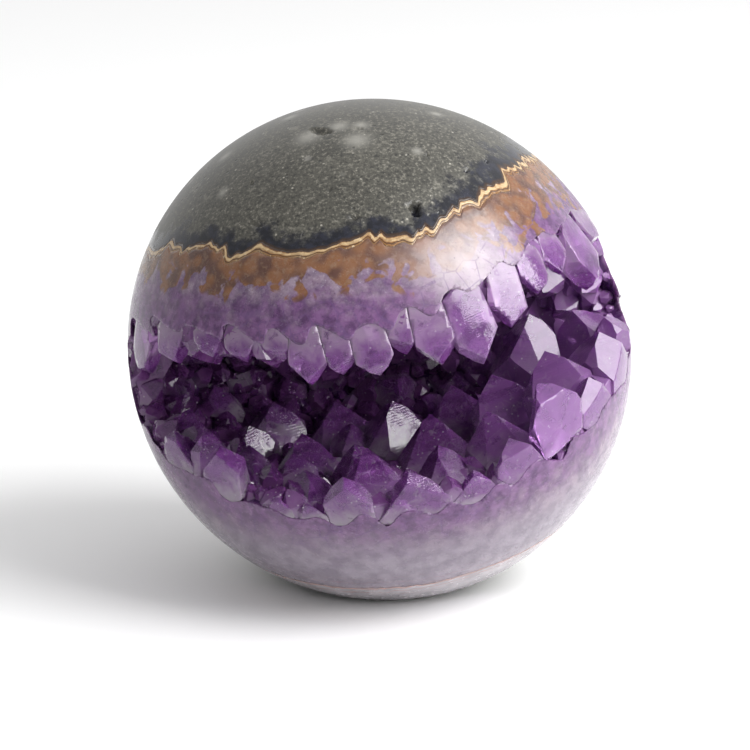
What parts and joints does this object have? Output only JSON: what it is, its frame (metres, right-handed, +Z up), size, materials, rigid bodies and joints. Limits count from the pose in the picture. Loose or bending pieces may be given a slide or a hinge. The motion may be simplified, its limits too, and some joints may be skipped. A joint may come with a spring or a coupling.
{
  "type": "polished amethyst geode ball",
  "caption": "Polished geode ball with a basalt cap and foot, agate rinds, and a mouth-shaped cavity lined with purple amethyst crystals, on a small ground flat.",
  "frame": {"origin": "centre of the small flat ground under the foot, where the ball stands", "axes": "+Z up; -Y towards the open mouth, the side most people look at; +X to that viewer's right"},
  "size_m": [0.0804, 0.0786, 0.0779],
  "materials": {
    "basalt": "polished, olive grey",
    "agate": "polished, tan and gold banding",
    "chalcedony": "polished, grey with thin pink-brown lines",
    "amethyst_wall": "polished, lavender grey",
    "crystal": "translucent purple, natural faces with polished cuts"
  },
  "bodies": {
    "root": {"amethyst_wall": "amethyst_wall", "back_crystal_01": "crystal", "back_crystal_02": "crystal", "back_crystal_03": "crystal", "back_crystal_04": "crystal", "back_crystal_05": "crystal", "basalt_cap": "basalt", "basalt_foot": "basalt", "floor_crystal_01": "crystal", "floor_crystal_02": "crystal", "floor_crystal_03": "crystal", "floor_crystal_04": "crystal", "floor_crystal_05": "crystal", "floor_crystal_06": "crystal", "floor_crystal_07": "crystal", "floor_crystal_08": "crystal", "floor_crystal_09": "crystal", "floor_crystal_10": "crystal", "floor_crystal_11": "crystal", "floor_crystal_12": "crystal", "floor_crystal_13": "crystal", "floor_crystal_14": "crystal", "floor_crystal_15": "crystal", "floor_crystal_16": "crystal", "floor_crystal_17": "crystal", "floor_crystal_18": "crystal", "floor_crystal_19": "crystal", "floor_lip_crystal_01": "crystal", "floor_lip_crystal_02": "crystal", "floor_lip_crystal_03": "crystal", "floor_lip_crystal_04": "crystal", "floor_lip_crystal_05": "crystal", "floor_lip_crystal_06": "crystal", "floor_lip_crystal_07": "crystal", "floor_lip_crystal_08": "crystal", "lower_agate_rind": "chalcedony", "roof_crystal_01": "crystal", "roof_crystal_02": "crystal", "roof_crystal_03": "crystal", "roof_crystal_04": "crystal", "roof_crystal_05": "crystal", "roof_lip_crystal_01": "crystal", "roof_lip_crystal_02": "crystal", "roof_lip_crystal_03": "crystal", "roof_lip_crystal_04": "crystal", "roof_lip_crystal_05": "crystal", "roof_lip_crystal_06": "crystal", "roof_lip_crystal_07": "crystal", "roof_lip_crystal_08": "crystal", "roof_lip_crystal_09": "crystal", "roof_lip_crystal_10": "crystal", "roof_lip_crystal_11": "crystal", "roof_lip_crystal_12": "crystal", "roof_lip_crystal_13": "crystal", "roof_lip_crystal_14": "crystal", "roof_lip_crystal_15": "crystal", "roof_lip_crystal_16": "crystal", "upper_agate_rind": "agate"}
  },
  "joints": []
}
